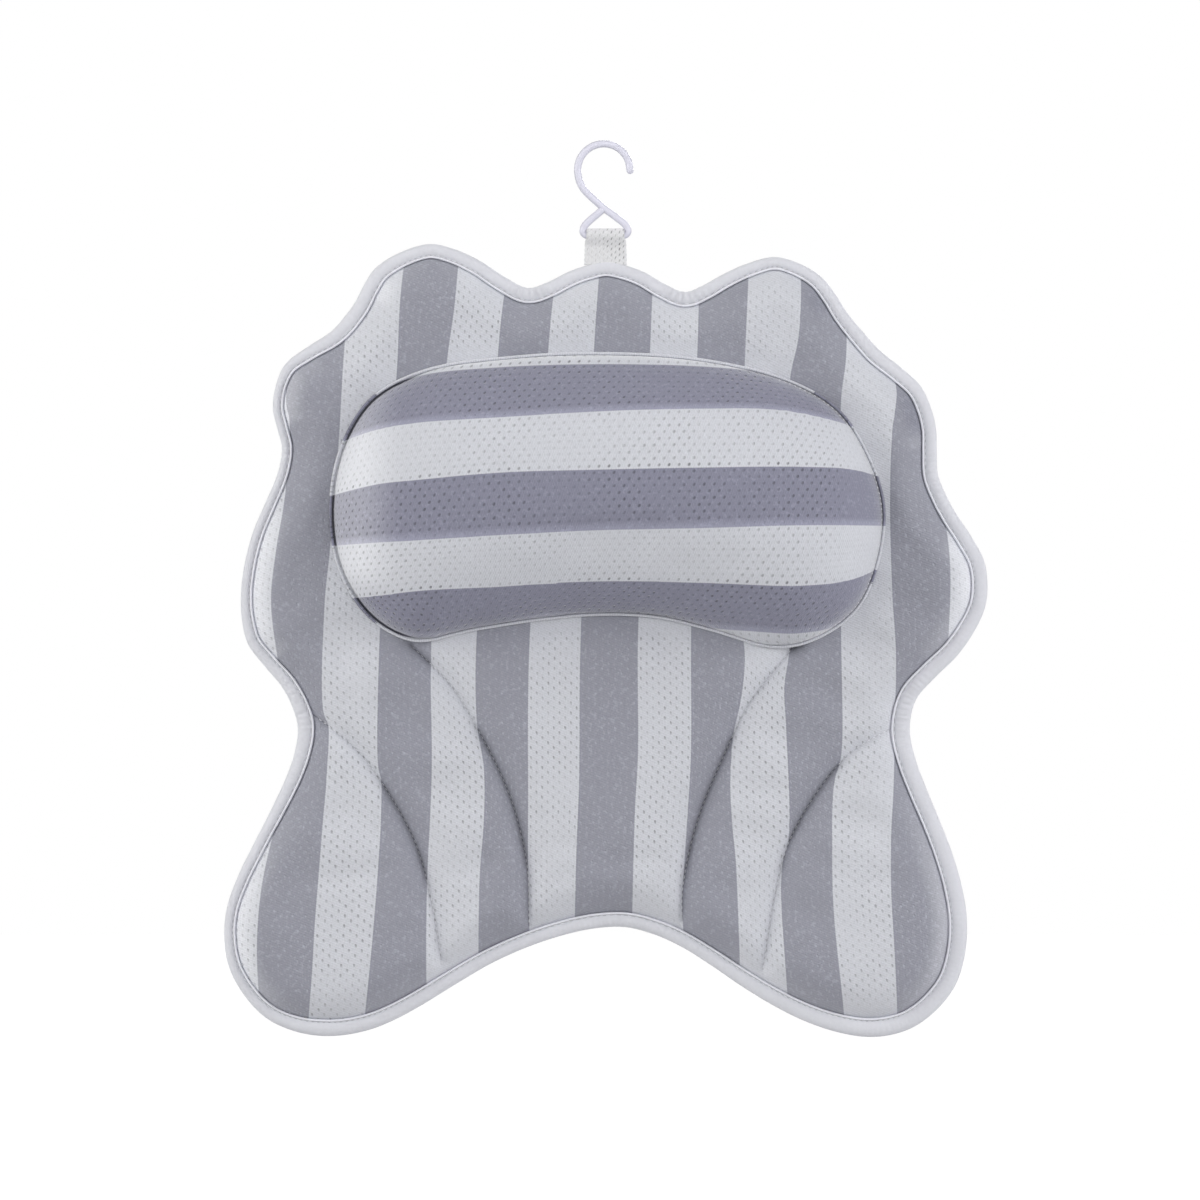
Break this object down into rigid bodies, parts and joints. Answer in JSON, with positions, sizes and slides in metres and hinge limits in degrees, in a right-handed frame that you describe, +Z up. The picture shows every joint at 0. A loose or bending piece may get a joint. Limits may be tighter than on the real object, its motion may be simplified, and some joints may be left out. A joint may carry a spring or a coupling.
{
  "type": "bath pillow",
  "caption": "Quilted mesh bath pillow with a raised head cushion, bound edge, hanging hook and suction cups that hold it to a tub wall.",
  "frame": {"origin": "on the plane of the wall that the suction cups grip, where the centre cup's axis meets it", "axes": "+Z up towards the hook, +X to the right seen from the front, +Y into the wall; the striped front faces -Y"},
  "size_m": [0.3827, 0.0716, 0.4488],
  "materials": {
    "striped_mesh": "matte",
    "back_mesh": "matte",
    "binding_tape": "matte",
    "cushion_mesh": "matte",
    "filling": "matte",
    "tab_mesh": "matte",
    "hook_plastic": "satin",
    "cup_vinyl": "gloss",
    "eyelet_plastic": "satin"
  },
  "bodies": {
    "pad": {"front_cover": "striped_mesh", "back_cover": "back_mesh", "edge_binding": "binding_tape", "main_fill": "filling", "left_lobe_fill": "filling", "right_lobe_fill": "filling", "cushion_cover": "cushion_mesh", "cushion_fill": "filling", "eyelet_1": "eyelet_plastic", "eyelet_2": "eyelet_plastic", "eyelet_3": "eyelet_plastic", "eyelet_4": "eyelet_plastic", "eyelet_5": "eyelet_plastic", "eyelet_6": "eyelet_plastic", "eyelet_7": "eyelet_plastic"},
    "tab": {"hanging_tab": "tab_mesh"},
    "hook": {"hook": "hook_plastic"},
    "cup_1": {"suction_cup_1": "cup_vinyl"},
    "cup_2": {"suction_cup_2": "cup_vinyl"},
    "cup_3": {"suction_cup_3": "cup_vinyl"},
    "cup_4": {"suction_cup_4": "cup_vinyl"},
    "cup_5": {"suction_cup_5": "cup_vinyl"},
    "cup_6": {"suction_cup_6": "cup_vinyl"},
    "cup_7": {"suction_cup_7": "cup_vinyl"}
  },
  "joints": [
    {"name": "tab_fold", "type": "hinge", "parent": "pad", "child": "tab", "pos_m": [0, -0.01845, 0.1214], "axis": [1, 0, 0], "range_deg": [-60, 60]},
    {"name": "hook_swing", "type": "hinge", "parent": "tab", "child": "hook", "pos_m": [0, -0.01845, 0.1328], "axis": [1, 0, 0], "range_deg": [-110, 110]},
    {"name": "cup_1_spin", "type": "hinge", "parent": "pad", "child": "cup_1", "pos_m": [0, 0, 0], "axis": [0, 1, 0], "continuous": true},
    {"name": "cup_2_spin", "type": "hinge", "parent": "pad", "child": "cup_2", "pos_m": [-0.08875, 0, 0.089], "axis": [0, 1, 0], "continuous": true},
    {"name": "cup_3_spin", "type": "hinge", "parent": "pad", "child": "cup_3", "pos_m": [0.08475, 0, 0.084], "axis": [0, 1, 0], "continuous": true},
    {"name": "cup_4_spin", "type": "hinge", "parent": "pad", "child": "cup_4", "pos_m": [-0.14575, 0, -0.045], "axis": [0, 1, 0], "continuous": true},
    {"name": "cup_5_spin", "type": "hinge", "parent": "pad", "child": "cup_5", "pos_m": [0.15325, 0, -0.045], "axis": [0, 1, 0], "continuous": true},
    {"name": "cup_6_spin", "type": "hinge", "parent": "pad", "child": "cup_6", "pos_m": [-0.14175, 0, -0.2175], "axis": [0, 1, 0], "continuous": true},
    {"name": "cup_7_spin", "type": "hinge", "parent": "pad", "child": "cup_7", "pos_m": [0.13225, 0, -0.2175], "axis": [0, 1, 0], "continuous": true}
  ]
}
